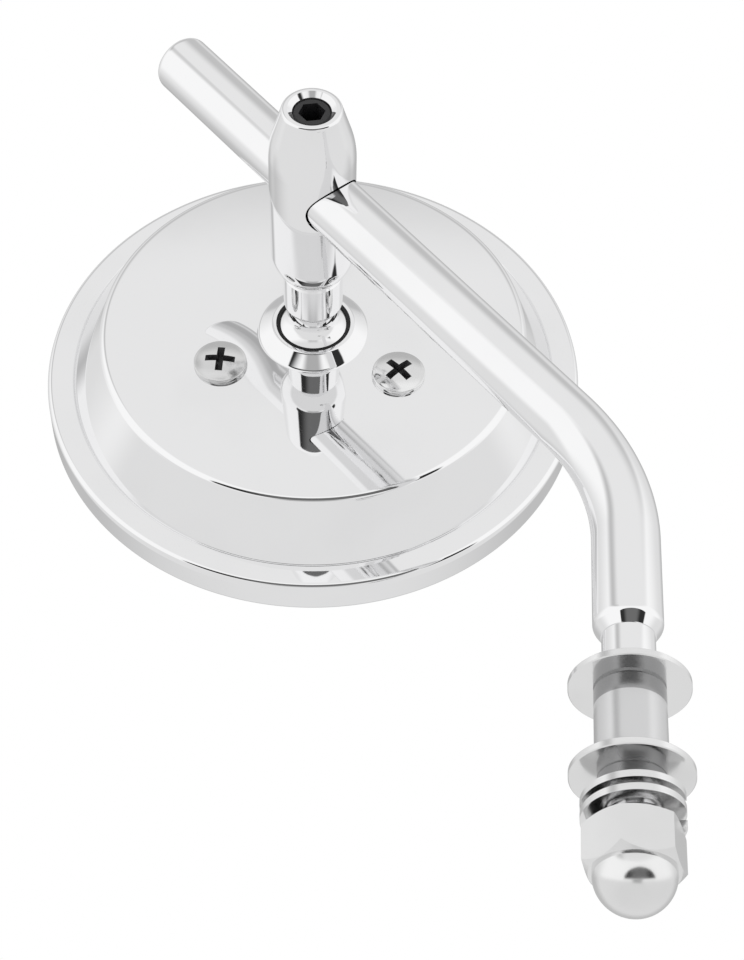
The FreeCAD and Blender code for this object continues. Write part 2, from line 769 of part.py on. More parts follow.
# Three pan-head screws, built up from the plate and turned to their own cross angle.
head_r = size("screw_head_dia") / 2
head_h = size("screw_head_height")
for letter, step, cross_turn in (("a", 0.0, 47.0), ("b", 120.0, 4.0), ("c", 240.0, 20.0)):
    screw = new_body("retainer_screw_" + letter)
    long = size("screw_len")
    screw_turn = revolve(screw, [
        (0, 0),
        (screw_r - size("thread_lead"), 0),
        (screw_r, size("thread_lead")),
        (screw_r, long),
        (head_r, long),
        (head_r, long + head_h),
        (0, long + head_h),
    ], "screw_turning_" + letter)
    rounding(screw, screw_turn, head_r, long + head_h, size("screw_head_round"), "screw_round_" + letter)
    plus = new_sketch(screw, "XY_Plane", "screw_cross_" + letter)
    wide = size("screw_slot") / 2
    reach = size("screw_cross") / 2
    outline(plus, [
        (wide, wide), (reach, wide), (reach, -wide), (wide, -wide),
        (wide, -reach), (-wide, -reach), (-wide, -wide), (-reach, -wide),
        (-reach, wide), (-wide, wide), (-wide, reach), (wide, reach),
    ])
    bind(plus, "AttachmentOffset.Base.z", long + head_h)
    recess = screw.newObject("PartDesign::Pocket", "screw_recess_" + letter)
    recess.Profile = plus
    bind(recess, "Length", size("screw_cross_depth"))
    plus.Visibility = False
    doc.recompute()
    far = size("screw_circle") / 2
    around = size("screw_angle") + step
    head_point = along_post(-head_low + plate_z - long)
    turn = size("clamp_angle")
    local_x = far * cosine(around)
    local_y = far * sine(around)
    spot = (
        head_point[0] + local_x * sine(bend) + local_y * cosine(bend) * cosine(turn),
        head_point[1] - local_y * sine(turn),
        head_point[2] + local_x * cosine(bend) - local_y * sine(bend) * cosine(turn),
    )
    place(screw, spot, POST + [(Z_AXIS, as_val(cross_turn))])

# Rim pieces: bezel, gasket and glass.
bezel_ring = new_body("bezel_ring")
lip_r = rim_r - size("rim_lip")
front_r = rim_r - size("rim_front_lip")
slant = size("lip_slant")
bezel_turn = revolve(bezel_ring, [
    (front_r, 0),
    (rim_r, 0),
    (rim_r, rim_z),
    (lip_r, rim_z),
    (lip_r + slant, rim_z - rim_t),
    (rim_r - rim_t, rim_z - rim_t),
    (rim_r - rim_t, rim_t),
    (front_r, rim_t),
], "bezel_section")
rim_edge = rounding(bezel_ring, bezel_turn, rim_r, as_val(0), size("bezel_front_round"), "bezel_front_edge")
rim_edge = rounding(bezel_ring, rim_edge, rim_r, rim_z, size("bezel_top_round"), "bezel_rear_edge")
rounding(bezel_ring, rim_edge, lip_r, rim_z, size("bezel_lip_round"), "bezel_lip_edge")
place(bezel_ring, along_post(-head_low), POST)

glass_low = rim_t + gap
glass_top = flange_low - gap - size("gasket_thick") - gap
gasket_top = flange_low - gap
gasket_low = glass_top + gap
gasket_r = flange_r
gasket_in = flange_in + size("gasket_inset")
mirror_glass = new_body("mirror_glass")
glass_r = rim_r - rim_t - size("glass_side_gap")
revolve(mirror_glass, [(0, glass_low), (glass_r, glass_low), (glass_r, glass_top), (0, glass_top)], "glass_disc")
place(mirror_glass, along_post(-head_low), POST)

glass_gasket = new_body("glass_gasket")
revolve(glass_gasket, [
    (gasket_in, gasket_low),
    (gasket_r, gasket_low),
    (gasket_r, gasket_top),
    (gasket_in, gasket_top),
], "gasket_ring")
place(glass_gasket, along_post(-head_low), POST)

doc.recompute()
bad = []
for obj in doc.Objects:
    if "Invalid" in obj.State or "Error" in obj.State:
        bad.append(obj.Label)
for node in NODES:
    if node.Shape.isNull() or not node.Shape.isValid() or len(node.Shape.Solids) != 1:
        bad.append(node.Label)
if bad:
    raise RuntimeError("not sound: " + ", ".join(bad))

os.makedirs("parts", exist_ok=True)
for node in NODES:
    node.Shape.exportStep("parts/%s.step" % node.Label)
    box = node.Shape.BoundBox
    print("%-18s vol %9.1f  x %7.2f %7.2f  y %7.2f %7.2f  z %7.2f %7.2f" % (
        node.Label, node.Shape.Volume, box.XMin, box.XMax, box.YMin, box.YMax, box.ZMin, box.ZMax))
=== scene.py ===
"""Looks for the round chromed motorcycle mirror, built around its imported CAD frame."""

import bmesh
import bpy
import math
from mathutils import Matrix, Vector


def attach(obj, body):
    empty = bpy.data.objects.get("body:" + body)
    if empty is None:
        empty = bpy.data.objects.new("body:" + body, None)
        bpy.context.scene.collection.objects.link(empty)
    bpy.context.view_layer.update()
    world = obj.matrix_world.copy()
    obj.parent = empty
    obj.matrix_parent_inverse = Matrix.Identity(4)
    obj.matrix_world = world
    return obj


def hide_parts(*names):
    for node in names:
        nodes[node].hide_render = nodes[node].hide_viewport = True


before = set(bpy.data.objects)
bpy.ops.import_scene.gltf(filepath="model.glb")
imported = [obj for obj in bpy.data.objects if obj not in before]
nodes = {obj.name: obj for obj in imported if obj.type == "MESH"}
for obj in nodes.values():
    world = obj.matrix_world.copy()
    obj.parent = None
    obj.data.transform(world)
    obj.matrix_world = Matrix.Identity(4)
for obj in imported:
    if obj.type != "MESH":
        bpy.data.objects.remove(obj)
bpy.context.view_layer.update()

# Sizes in millimetres, as in the part's source. The stem stands along Z. Heights on the mirror
# head are taken along the ball post, from the bezel's front.

MM = 0.001
ROUND_STEPS = 8

# Stem

ROD_R = 5.3
ROD_LEN = 119.0
ROD_END_ROUND = 1.6
BEND_ANGLE = math.radians(42.3)
BEND_RADIUS = 35.0
BEND_CORNER_Z = 48.55
BEND_STEPS = 44
SHOULDER_Z = 16.5
SHOULDER_RISE = 1.9
SHOULDER_IN = 1.2
SHOULDER_ROUND = 2.0
STUD_R = 4.0
STUD_END_Z = -24.15
STUD_BEVEL = 0.8
THREAD_PITCH = 1.25
THREAD_DEPTH = 0.65
THREAD_ROOT = 0.3
THREAD_CREST = 0.2
THREAD_TOP_Z = -4.5
THREAD_FADE = 0.7
THREAD_STEPS = 96

# Painted shade on the sleeves' ends next to their washers, above one height and below the other

SLEEVE_END_Z = 3.7
SPACER_Z = -7.2
SLEEVE_END_SOFT = 0.2
SLEEVE_END_SHADE = 0.45

# Mirror head: its axes and the middle of its back plate

POST_AXIS = Vector((0.087575, 0.992966, -0.079687))
ROD_AXIS = Vector((math.sin(BEND_ANGLE), 0.0, math.cos(BEND_ANGLE)))
SIDE_AXIS = POST_AXIS.cross(ROD_AXIS)
HEAD_TURN = Matrix((ROD_AXIS, SIDE_AXIS, POST_AXIS)).transposed()
PLATE_CENTRE = Vector((50.102, -38.586, 110.447))
SPIN_STEPS = 256
EDGE_HOLD = 0.06

# Shell

PLATE_HEIGHT = 17.97
PLATE_R = 39.65
PLATE_ROUND = 1.6
PLATE_CROWN_END = 39.9
CROWN_R = 250.0
DENT_NEAR = 2.0
DENT_FAR = 11.0
DENT_DEPTH = 0.3
SHEET = 1.05
WALL_FOOT_R = 45.6
FLANGE_R = 49.5
FLANGE_Z = 4.8
SEAT_R = 10.2
SEAT_HEIGHT = 2.1
SEAT_FOOT_ROUND = 1.0
SEAT_LIP_R = 7.65
SEAT_LIP_ROUND = 0.7
SEAT_HOLE_R = 6.95
BALL_SEAT_R = 8.6
BALL_DEEP = 2.96

# Bezel

RIM_R = 50.79
RIM_FRONT_Z = 0.01
RIM_HEIGHT = 6.8
RIM_THICK = 0.9
RIM_FRONT_R = 46.5
RIM_FRONT_ROUND = 0.8
RIM_REAR_ROUND = 1.2
LIP_R = 45.68
LIP_FOOT_R = 46.25
LIP_ROUND = 0.5

# Retainer screws: CAD node, angle round the plate and turn of the cross, in degrees

SCREW_CIRCLE_R = 19.1
SCREW_ANGLE = 77.5
SCREWS = (
    ("retainer_screw_a", SCREW_ANGLE, 47.0),
    ("retainer_screw_b", SCREW_ANGLE + 120.0, 4.0),
    ("retainer_screw_c", SCREW_ANGLE + 240.0, 20.0),
)
SCREW_R = 2.5
SCREW_LEN = 10.4
SCREW_TIP_BEVEL = 0.4
HEAD_R = 4.9
HEAD_CROWN = 1.78
HEAD_RIM = 0.72
HEAD_EDGE = 0.22
HEAD_EDGE_STEPS = 4
HEAD_FOOT_BEVEL = 0.12
HEAD_RINGS = 8
CROSS_WIDTH = 1.35
CROSS_LEN = 5.5
CROSS_DEPTH = 1.7
CROSS_TAPER = 0.55
CROSS_CUTS = 7


def screw_place(around):
    """Middle of a screw under its head, on the back plate."""
    turn = math.radians(around)
    out = ROD_AXIS * math.cos(turn) + SIDE_AXIS * math.sin(turn)
    return PLATE_CENTRE + out * SCREW_CIRCLE_R


# Node helpers


def add(tree, kind, **settings):
    """New node with its settings."""
    node = tree.nodes.new(kind)
    for key, value in settings.items():
        setattr(node, key, value)
    return node


def feed(tree, socket, item):
    """Puts a number on an input or wires an output to it."""
    if isinstance(item, (int, float)):
        socket.default_value = item
    else:
        tree.links.new(item, socket)


def math_node(tree, operation, first, second=None):
    """Arithmetic on one or two values, each a number or a socket."""
    node = add(tree, "ShaderNodeMath", operation=operation)
    feed(tree, node.inputs[0], first)
    if second is not None:
        feed(tree, node.inputs[1], second)
    return node.outputs[0]


def vector_node(tree, operation, first, second=None):
    """Arithmetic on a place or direction, alone or with a fixed second one."""
    node = add(tree, "ShaderNodeVectorMath", operation=operation)
    tree.links.new(first, node.inputs[0])
    if second is not None:
        node.inputs[1].default_value = second
    return node.outputs


def ramp_step(tree, value, low, high, out_low=0.0, out_high=1.0):
    """Smooth step of a value between two limits."""
    node = add(tree, "ShaderNodeMapRange", interpolation_type="SMOOTHSTEP")
    feed(tree, node.inputs["Value"], value)
    node.inputs["From Min"].default_value = low
    node.inputs["From Max"].default_value = high
    node.inputs["To Min"].default_value = out_low
    node.inputs["To Max"].default_value = out_high
    return node.outputs["Result"]


def blend(tree, factor, first, second):
    """Mix of two values, each a number or a socket."""
    node = add(tree, "ShaderNodeMix", data_type="FLOAT")
    feed(tree, node.inputs[0], factor)
    feed(tree, node.inputs[2], first)
    feed(tree, node.inputs[3], second)
    return node.outputs[0]


def tint(tree, factor, first, second):
    """Mix of two colours."""
    node = add(tree, "ShaderNodeMix", data_type="RGBA")
    feed(tree, node.inputs[0], factor)
    node.inputs[6].default_value = (*first, 1.0)
    node.inputs[7].default_value = (*second, 1.0)
    return node.outputs[2]


def noise(tree, place, scale, detail):
    """Cloudy 0 to 1 pattern."""
    node = add(tree, "ShaderNodeTexNoise")
    node.inputs["Scale"].default_value = scale
    node.inputs["Detail"].default_value = detail
    tree.links.new(place, node.inputs["Vector"])
    return node.outputs["Fac"]


def raise_surface(tree, target, height, strength, distance):
    """Bump from a height to the normal of a shader or of another bump."""
    bump = add(tree, "ShaderNodeBump")
    bump.inputs["Strength"].default_value = strength
    bump.inputs["Distance"].default_value = distance
    tree.links.new(height, bump.inputs["Height"])
    tree.links.new(bump.outputs["Normal"], target.inputs["Normal"])
    return bump


def new_material(name):
    """Material with its node tree, its shader and the place on the piece."""
    material = bpy.data.materials.new(name)
    material.use_nodes = True
    tree = material.node_tree
    place = add(tree, "ShaderNodeTexCoord").outputs["Object"]
    return material, tree, tree.nodes["Principled BSDF"], place


# Finishes


def plating_group():
    """Faint waviness, haze and polishing marks of plated metal."""
    group = bpy.data.node_groups.new("plating_finish", "ShaderNodeTree")
    for name in ("Smooth", "Haze", "Waviness", "Grain", "Shade"):
        group.interface.new_socket(name, in_out="INPUT", socket_type="NodeSocketFloat")
    for name in ("Roughness", "Tone", "Height"):
        group.interface.new_socket(name, in_out="OUTPUT", socket_type="NodeSocketFloat")
    given = add(group, "NodeGroupInput").outputs
    result = add(group, "NodeGroupOutput").inputs
    place = add(group, "ShaderNodeTexCoord").outputs["Object"]
    spots = ramp_step(group, noise(group, place, 60.0, 4.0), 0.42, 0.72)
    swell = noise(group, place, 130.0, 1.0)
    grain = noise(group, place, 1400.0, 2.0)
    hazy = math_node(group, "MULTIPLY", spots, given["Haze"])
    feed(group, result["Roughness"], math_node(group, "ADD", given["Smooth"], hazy))
    shade = math_node(group, "MULTIPLY", spots, given["Shade"])
    feed(group, result["Tone"], math_node(group, "SUBTRACT", 1.0, shade))
    waves = math_node(group, "MULTIPLY", swell, given["Waviness"])
    marks = math_node(group, "MULTIPLY", grain, given["Grain"])
    feed(group, result["Height"], math_node(group, "ADD", waves, marks))
    return group


PLATING = plating_group()


def plated(name, colour, smooth, haze, waviness, shade, grain=0.0, form=None, darker=None):
    """Plated or polished metal.

    form gives the height in metres of a sheet that isn't quite flat; darker gives a 0 to 1 painted
    shade.
    """
    material, tree, shader, place = new_material(name)
    shader.inputs["Metallic"].default_value = 1.0
    finish = add(tree, "ShaderNodeGroup", node_tree=PLATING)
    finish.inputs["Smooth"].default_value = smooth
    finish.inputs["Haze"].default_value = haze
    finish.inputs["Waviness"].default_value = waviness
    finish.inputs["Grain"].default_value = grain
    finish.inputs["Shade"].default_value = shade
    tone = finish.outputs["Tone"]
    if darker:
        tone = math_node(tree, "MULTIPLY", tone, darker(tree, place))
    colours = tint(tree, tone, (0.0, 0.0, 0.0), colour)
    tree.links.new(colours, shader.inputs["Base Color"])
    tree.links.new(finish.outputs["Roughness"], shader.inputs["Roughness"])
    fine = raise_surface(tree, shader, finish.outputs["Height"], 0.15, 0.001)
    if form:
        raise_surface(tree, fine, form(tree, place), 1.0, 1.0)
    return material


def dull(name, colour, rough, specular, grain_scale, grain_depth):
    """Moulded or blackened surface with a fine grain, or painted shade with the same grain."""
    material, tree, shader, place = new_material(name)
    shader.inputs["Specular IOR Level"].default_value = specular
    grain = noise(tree, place, grain_scale, 3.0)
    darker = [part * 0.7 for part in colour]
    lighter = [part * 1.3 for part in colour]
    tree.links.new(tint(tree, grain, darker, lighter), shader.inputs["Base Color"])
    rougher = ramp_step(tree, grain, 0.3, 0.7, rough - 0.08, rough + 0.08)
    tree.links.new(rougher, shader.inputs["Roughness"])
    raise_surface(tree, shader, grain, 0.3, grain_depth)
    return material


def silvered(name, colour):
    """Silvered glass: a clean mirror with the faintest ripple of drawn glass."""
    material, tree, shader, place = new_material(name)
    shader.inputs["Metallic"].default_value = 1.0
    shader.inputs["Base Color"].default_value = (*colour, 1.0)
    cloud = noise(tree, place, 40.0, 2.0)
    tree.links.new(ramp_step(tree, cloud, 0.45, 0.75, 0.0, 0.025), shader.inputs["Roughness"])
    raise_surface(tree, shader, cloud, 0.02, 0.0002)
    return material


def pressed_sheet(tree, place):
    """Slight crown of the back plate, pulled down round its screws; a height in metres."""
    out = vector_node(tree, "SUBTRACT", place, PLATE_CENTRE * MM)["Vector"]
    along = vector_node(tree, "DOT_PRODUCT", out, POST_AXIS)["Value"]
    whole = vector_node(tree, "LENGTH", out)["Value"]
    across = math_node(
        tree,
        "SUBTRACT",
        math_node(tree, "MULTIPLY", whole, whole),
        math_node(tree, "MULTIPLY", along, along),
    )
    fall = math_node(tree, "SUBTRACT", (PLATE_CROWN_END * MM) ** 2, across)
    fall = math_node(tree, "MAXIMUM", fall, 0.0)
    height = math_node(tree, "MULTIPLY", fall, 0.5 / (CROWN_R * MM))
    for _, around, _ in SCREWS:
        reach = vector_node(tree, "DISTANCE", place, screw_place(around) * MM)["Value"]
        dent = ramp_step(tree, reach, DENT_NEAR * MM, DENT_FAR * MM, -DENT_DEPTH * MM, 0.0)
        height = math_node(tree, "ADD", height, dent)
    return height


def painted_washer_shade(tree, place):
    """Painted shade on the two sleeves' ends, next to their washers, where shade falls."""
    parts = add(tree, "ShaderNodeSeparateXYZ")
    tree.links.new(place, parts.inputs[0])
    height = parts.outputs["Z"]
    upper = ramp_step(tree, height, SLEEVE_END_Z * MM, (SLEEVE_END_Z + SLEEVE_END_SOFT) * MM)
    lower = ramp_step(tree, height, SPACER_Z * MM, (SPACER_Z - SLEEVE_END_SOFT) * MM)
    shade = math_node(tree, "MULTIPLY", math_node(tree, "MAXIMUM", upper, lower), SLEEVE_END_SHADE)
    return math_node(tree, "SUBTRACT", 1.0, shade)


CHROME = (0.90, 0.90, 0.905)

bar_chrome = plated("bar_chrome", CHROME, smooth=0.015, haze=0.02, waviness=0.004, shade=0.02)
shell_chrome = plated(
    "shell_chrome",
    CHROME,
    smooth=0.02,
    haze=0.03,
    waviness=0.008,
    shade=0.02,
    form=pressed_sheet,
)
rim_chrome = plated("rim_chrome", CHROME, smooth=0.02, haze=0.03, waviness=0.006, shade=0.02)
hardware_plating = plated(
    "hardware_plating",
    (0.86, 0.86, 0.86),
    smooth=0.11,
    haze=0.08,
    waviness=0.02,
    shade=0.06,
    grain=0.02,
)
# The sleeves' steel carries painted shade at its ends, next to the washers.
sleeve_steel = plated(
    "sleeve_steel",
    (0.72, 0.72, 0.725),
    smooth=0.2,
    haze=0.1,
    waviness=0.02,
    shade=0.08,
    grain=0.04,
    darker=painted_washer_shade,
)
screw_plating = plated(
    "screw_plating",
    (0.80, 0.80, 0.80),
    smooth=0.10,
    haze=0.10,
    waviness=0.05,
    shade=0.15,
    grain=0.02,
)
zinc_plate = plated(
    "zinc_plate",
    (0.62, 0.63, 0.64),
    smooth=0.32,
    haze=0.12,
    waviness=0.05,
    shade=0.15,
    grain=0.05,
)
silvered_glass = silvered("silvered_glass", (0.72, 0.75, 0.745))
black_oxide = dull(
    "black_oxide",
    (0.022, 0.022, 0.024),
    rough=0.42,
    specular=0.5,
    grain_scale=900.0,
    grain_depth=0.00004,
)
# Painted shade for the inside of the screws' cross recesses.
recess_shade = dull(
    "recess_shade",
    (0.045, 0.045, 0.047),
    rough=0.6,
    specular=0.3,
    grain_scale=1500.0,
    grain_depth=0.00004,
)
black_nylon = dull(
    "black_nylon",
    (0.012, 0.012, 0.012),
    rough=0.55,
    specular=0.35,
    grain_scale=700.0,
    grain_depth=0.00005,
)
gasket_rubber = dull(
    "gasket_rubber",
    (0.02, 0.02, 0.02),
    rough=0.75,
    specular=0.3,
    grain_scale=800.0,
    grain_depth=0.0001,
)

FINISHES = {
    "stem": bar_chrome,
    "clamp_barrel": bar_chrome,
    "ball_stud": bar_chrome,
    "mirror_shell": shell_chrome,
    "bezel_ring": rim_chrome,
    "upper_washer": hardware_plating,
    "long_sleeve": sleeve_steel,
    "lower_washer": hardware_plating,
    "short_sleeve": sleeve_steel,
    "lock_washer": hardware_plating,
    "acorn_nut": hardware_plating,
    "retainer_screw_a": screw_plating,
    "retainer_screw_b": screw_plating,
    "retainer_screw_c": screw_plating,
    "set_screw": black_oxide,
    "ball_liner": black_nylon,
    "retainer_plate": zinc_plate,
    "glass_gasket": gasket_rubber,
    "mirror_glass": silvered_glass,
}
for name, material in FINISHES.items():
    mesh = nodes[name].data
    mesh.materials.clear()
    mesh.materials.append(material)


# Mesh helpers


def edges_of(items):
    """Edges among what an operator gives back."""
    return [item for item in items if isinstance(item, bmesh.types.BMEdge)]


def grow(tool, loop, reshape):
    """Extrudes an edge loop and moves its new points; gives the new loop."""
    grown = bmesh.ops.extrude_edge_only(tool, edges=loop)["geom"]
    for item in grown:
        if isinstance(item, bmesh.types.BMVert):
            item.co = reshape(item.co)
    return edges_of(grown)


def to_ring(radius, height):
    """Moves a point out or in to a radius round Z, at a height."""

    def reshape(point):
        flat = Vector((point.x, point.y, 0.0)).normalized() * radius
        return Vector((flat.x, flat.y, height))

    return reshape


def to_rod_ring(radius, reach):
    """Moves a point to a radius round the rod, at a reach from the bend's corner."""
    corner = Vector((0.0, 0.0, BEND_CORNER_Z))

    def reshape(point):
        out = point - corner
        out = (out - ROD_AXIS * out.dot(ROD_AXIS)).normalized()
        return corner + ROD_AXIS * reach + out * radius

    return reshape


def corner_arc(centre, radius, start, end):
    """Points of a rounded corner of a section, each a distance from the axis and a height."""
    points = []
    for step in range(ROUND_STEPS + 1):
        lean = math.radians(start + (end - start) * step / ROUND_STEPS)
        points.append((centre[0] + radius * math.cos(lean), centre[1] + radius * math.sin(lean)))
    return points


def on_head(tool, place, turn):
    """Moves a piece made round Z to its place on the mirror head, in the head's own turn."""
    spin = Matrix.Rotation(math.radians(turn), 3, "Z")
    seat = Matrix.Translation(place) @ (HEAD_TURN @ spin).to_4x4()
    bmesh.ops.transform(tool, matrix=seat, verts=tool.verts)


def finish_piece(name, tool, materials, body, node):
    """Object at the origin, in metres, that rides its body in place of a CAD node."""
    bmesh.ops.remove_doubles(tool, verts=tool.verts, dist=0.0005)
    bmesh.ops.recalc_face_normals(tool, faces=tool.faces)
    bmesh.ops.scale(tool, vec=(MM, MM, MM), verts=tool.verts)
    mesh = bpy.data.meshes.new(name)
    tool.to_mesh(mesh)
    tool.free()
    mesh.shade_smooth()
    mesh.set_sharp_from_angle(angle=math.radians(30.0))
    for material in materials:
        mesh.materials.append(material)
    piece = bpy.data.objects.new(name, mesh)
    bpy.context.scene.collection.objects.link(piece)
    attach(piece, body)
    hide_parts(node)


def spun_sheet(name, section, material, node):
    """Section of a sheet spun round the head's axis, in place of its CAD node."""
    tool = bmesh.new()
    points = [tool.verts.new((radius, 0.0, height)) for radius, height in section]
    outline = [tool.edges.new((points[side - 1], points[side])) for side in range(len(points))]
    bmesh.ops.spin(
        tool,
        geom=points + outline,
        cent=(0.0, 0.0, 0.0),
        axis=(0.0, 0.0, 1.0),
        angle=2 * math.pi,
        steps=SPIN_STEPS,
        use_merge=True,
    )
    on_head(tool, PLATE_CENTRE - POST_AXIS * PLATE_HEIGHT, 0.0)
    finish_piece(name, tool, [material], "head", node)


# Stem: threaded stud, bare stud, coned shoulder, leg, bend and rod in one skin


def thread_skin(tool):
    """Winds the thread's groove up the stud and cuts it level; gives its lower and upper loop."""
    turns = math.ceil((THREAD_TOP_Z - STUD_END_Z) / THREAD_PITCH) + 3
    flank = (THREAD_PITCH - THREAD_ROOT - THREAD_CREST) / 2
    root_r = STUD_R - THREAD_DEPTH
    low = STUD_END_Z - 2 * THREAD_PITCH
    groove = [
        tool.verts.new((root_r, 0.0, low)),
        tool.verts.new((root_r, 0.0, low + THREAD_ROOT)),
        tool.verts.new((STUD_R, 0.0, low + THREAD_ROOT + flank)),
        tool.verts.new((STUD_R, 0.0, low + THREAD_ROOT + flank + THREAD_CREST)),
        tool.verts.new((root_r, 0.0, low + THREAD_PITCH)),
    ]
    outline = [tool.edges.new(pair) for pair in zip(groove, groove[1:])]
    bmesh.ops.spin(
        tool,
        geom=groove + outline,
        cent=(0.0, 0.0, 0.0),
        axis=(0.0, 0.0, 1.0),
        dvec=(0.0, 0.0, THREAD_PITCH / THREAD_STEPS),
        angle=2 * math.pi * turns,
        steps=THREAD_STEPS * turns,
    )
    bmesh.ops.remove_doubles(tool, verts=tool.verts, dist=0.001)
    ends = []
    for height, side in ((STUD_END_Z + STUD_BEVEL, -1.0), (THREAD_TOP_Z, 1.0)):
        cut = bmesh.ops.bisect_plane(
            tool,
            geom=tool.verts[:] + tool.edges[:] + tool.faces[:],
            plane_co=(0.0, 0.0, height),
            plane_no=(0.0, 0.0, side),
            clear_outer=True,
        )["geom_cut"]
        ends.append(edges_of(cut))
    return ends


def threaded_stem():
    """Grows the stud's end from the thread's lower loop and the rest of the stem from its upper one."""
    tool = bmesh.new()
    low_end, loop = thread_skin(tool)
    low_end = grow(tool, low_end, to_ring(STUD_R - STUD_BEVEL, STUD_END_Z))
    bmesh.ops.edgeloop_fill(tool, edges=low_end)

    slope = math.atan2(SHOULDER_IN, SHOULDER_RISE)
    round_z = SHOULDER_Z + SHOULDER_RISE + SHOULDER_ROUND * math.tan(slope / 2)
    loop = grow(tool, loop, to_ring(STUD_R, THREAD_TOP_Z + THREAD_FADE))
    loop = grow(tool, loop, to_ring(STUD_R, SHOULDER_Z))
    loop = grow(tool, loop, to_ring(ROD_R - SHOULDER_IN, SHOULDER_Z))
    for step in range(ROUND_STEPS, -1, -1):
        lean = slope * step / ROUND_STEPS
        radius = ROD_R - SHOULDER_ROUND * (1 - math.cos(lean))
        loop = grow(tool, loop, to_ring(radius, round_z - SHOULDER_ROUND * math.sin(lean)))

    leg_top = BEND_CORNER_Z - BEND_RADIUS * math.tan(BEND_ANGLE / 2)
    loop = grow(tool, loop, to_ring(ROD_R, leg_top))
    bent = bmesh.ops.spin(
        tool,
        geom=loop,
        cent=(BEND_RADIUS, 0.0, leg_top),
        axis=(0.0, 1.0, 0.0),
        angle=BEND_ANGLE,
        steps=BEND_STEPS,
    )["geom_last"]
    loop = edges_of(bent)

    for step in range(ROUND_STEPS + 1):
        lean = math.pi / 2 * step / ROUND_STEPS
        reach = ROD_LEN - ROD_END_ROUND * (1 - math.sin(lean))
        radius = ROD_R - ROD_END_ROUND * (1 - math.cos(lean))
        loop = grow(tool, loop, to_rod_ring(radius, reach))
    bmesh.ops.edgeloop_fill(tool, edges=loop)
    finish_piece("threaded_stem", tool, [bar_chrome], "stem", "stem")


# Bezel: rolled rim with smooth edges, its lip pressed against the shell wall


def rolled_bezel():
    """Section from the front lip round the outside to the rear lip, then back along the inside."""
    front_z = RIM_FRONT_Z + RIM_FRONT_ROUND
    rear_z = RIM_HEIGHT - RIM_REAR_ROUND
    lip_z = RIM_HEIGHT - LIP_ROUND
    section = [(RIM_FRONT_R, RIM_FRONT_Z)]
    section += corner_arc((RIM_R - RIM_FRONT_ROUND, front_z), RIM_FRONT_ROUND, -90.0, 0.0)
    section += [(RIM_R, front_z + EDGE_HOLD), (RIM_R, rear_z - EDGE_HOLD)]
    section += corner_arc((RIM_R - RIM_REAR_ROUND, rear_z), RIM_REAR_ROUND, 0.0, 90.0)
    section += [(RIM_R - RIM_REAR_ROUND - EDGE_HOLD, RIM_HEIGHT)]
    section += [(LIP_R + LIP_ROUND + EDGE_HOLD, RIM_HEIGHT)]
    section += corner_arc((LIP_R + LIP_ROUND, lip_z), LIP_ROUND, 90.0, 180.0)
    section += [
        (LIP_FOOT_R, RIM_HEIGHT - RIM_THICK),
        (RIM_R - RIM_THICK, RIM_HEIGHT - RIM_THICK),
        (RIM_R - RIM_THICK, RIM_THICK),
        (RIM_FRONT_R, RIM_THICK),
    ]
    spun_sheet("rolled_bezel", section, rim_chrome, "bezel_ring")


# Shell: pressed back with its flange, conical wall, plate and raised ball seat


def pressed_shell():
    """Section from under the plate down to the flange, up the wall, over the plate and into the seat."""
    lean = math.atan2(WALL_FOOT_R - PLATE_R, PLATE_HEIGHT - RIM_HEIGHT)
    rise = math.atan2(SEAT_HEIGHT, SEAT_R - SEAT_LIP_R)
    slope = math.tan(lean)
    sheet_across = SHEET / math.cos(lean)
    under_z = PLATE_HEIGHT - SHEET
    ball_z = PLATE_HEIGHT - BALL_DEEP
    section = [
        (PLATE_R + slope * SHEET - sheet_across, under_z),
        (WALL_FOOT_R + slope * (RIM_HEIGHT - FLANGE_Z) - sheet_across, FLANGE_Z),
        (FLANGE_R, FLANGE_Z),
        (FLANGE_R, FLANGE_Z + SHEET),
        (WALL_FOOT_R + slope * (RIM_HEIGHT - FLANGE_Z - SHEET), FLANGE_Z + SHEET),
    ]

    edge_r = PLATE_R - PLATE_ROUND * math.tan(math.radians(45.0) - lean / 2)
    edge_z = PLATE_HEIGHT - PLATE_ROUND
    edge = corner_arc((edge_r, edge_z), PLATE_ROUND, math.degrees(lean), 90.0)
    start_r, start_z = edge[0]
    section += [(start_r + EDGE_HOLD * math.sin(lean), start_z - EDGE_HOLD * math.cos(lean))]
    section += edge

    turn = math.degrees(rise)
    foot_r = SEAT_R + SEAT_FOOT_ROUND * math.tan(rise / 2)
    foot_z = PLATE_HEIGHT + SEAT_FOOT_ROUND
    section += [(edge_r - EDGE_HOLD, PLATE_HEIGHT), (foot_r + EDGE_HOLD, PLATE_HEIGHT)]
    section += corner_arc((foot_r, foot_z), SEAT_FOOT_ROUND, -90.0, -90.0 - turn)
    lip_r = SEAT_LIP_R - SEAT_LIP_ROUND * math.tan(rise / 2)
    lip_z = PLATE_HEIGHT + SEAT_HEIGHT - SEAT_LIP_ROUND
    section += corner_arc((lip_r, lip_z), SEAT_LIP_ROUND, 90.0 - turn, 90.0)
    top = math.degrees(math.acos(SEAT_HOLE_R / BALL_SEAT_R))
    low = math.degrees(math.asin((under_z - ball_z) / BALL_SEAT_R))
    section += corner_arc((0.0, ball_z), BALL_SEAT_R, top, low)
    spun_sheet("pressed_shell", section, shell_chrome, "mirror_shell")


# Retainer screws: low domed heads with a tapered cross


def dome_height(radius):
    """Height of a screw's dome at a distance from its middle."""
    return HEAD_CROWN - (HEAD_CROWN - HEAD_RIM) * (radius / HEAD_R) ** 2


def over_dome(far_r, steps_left):
    """Moves a point out over the dome, one of the steps that are left to a radius."""

    def reshape(point):
        near = point.xy.length
        far = near + (far_r - near) / steps_left
        return Vector((point.x * far / near, point.y * far / near, dome_height(far)))

    return reshape


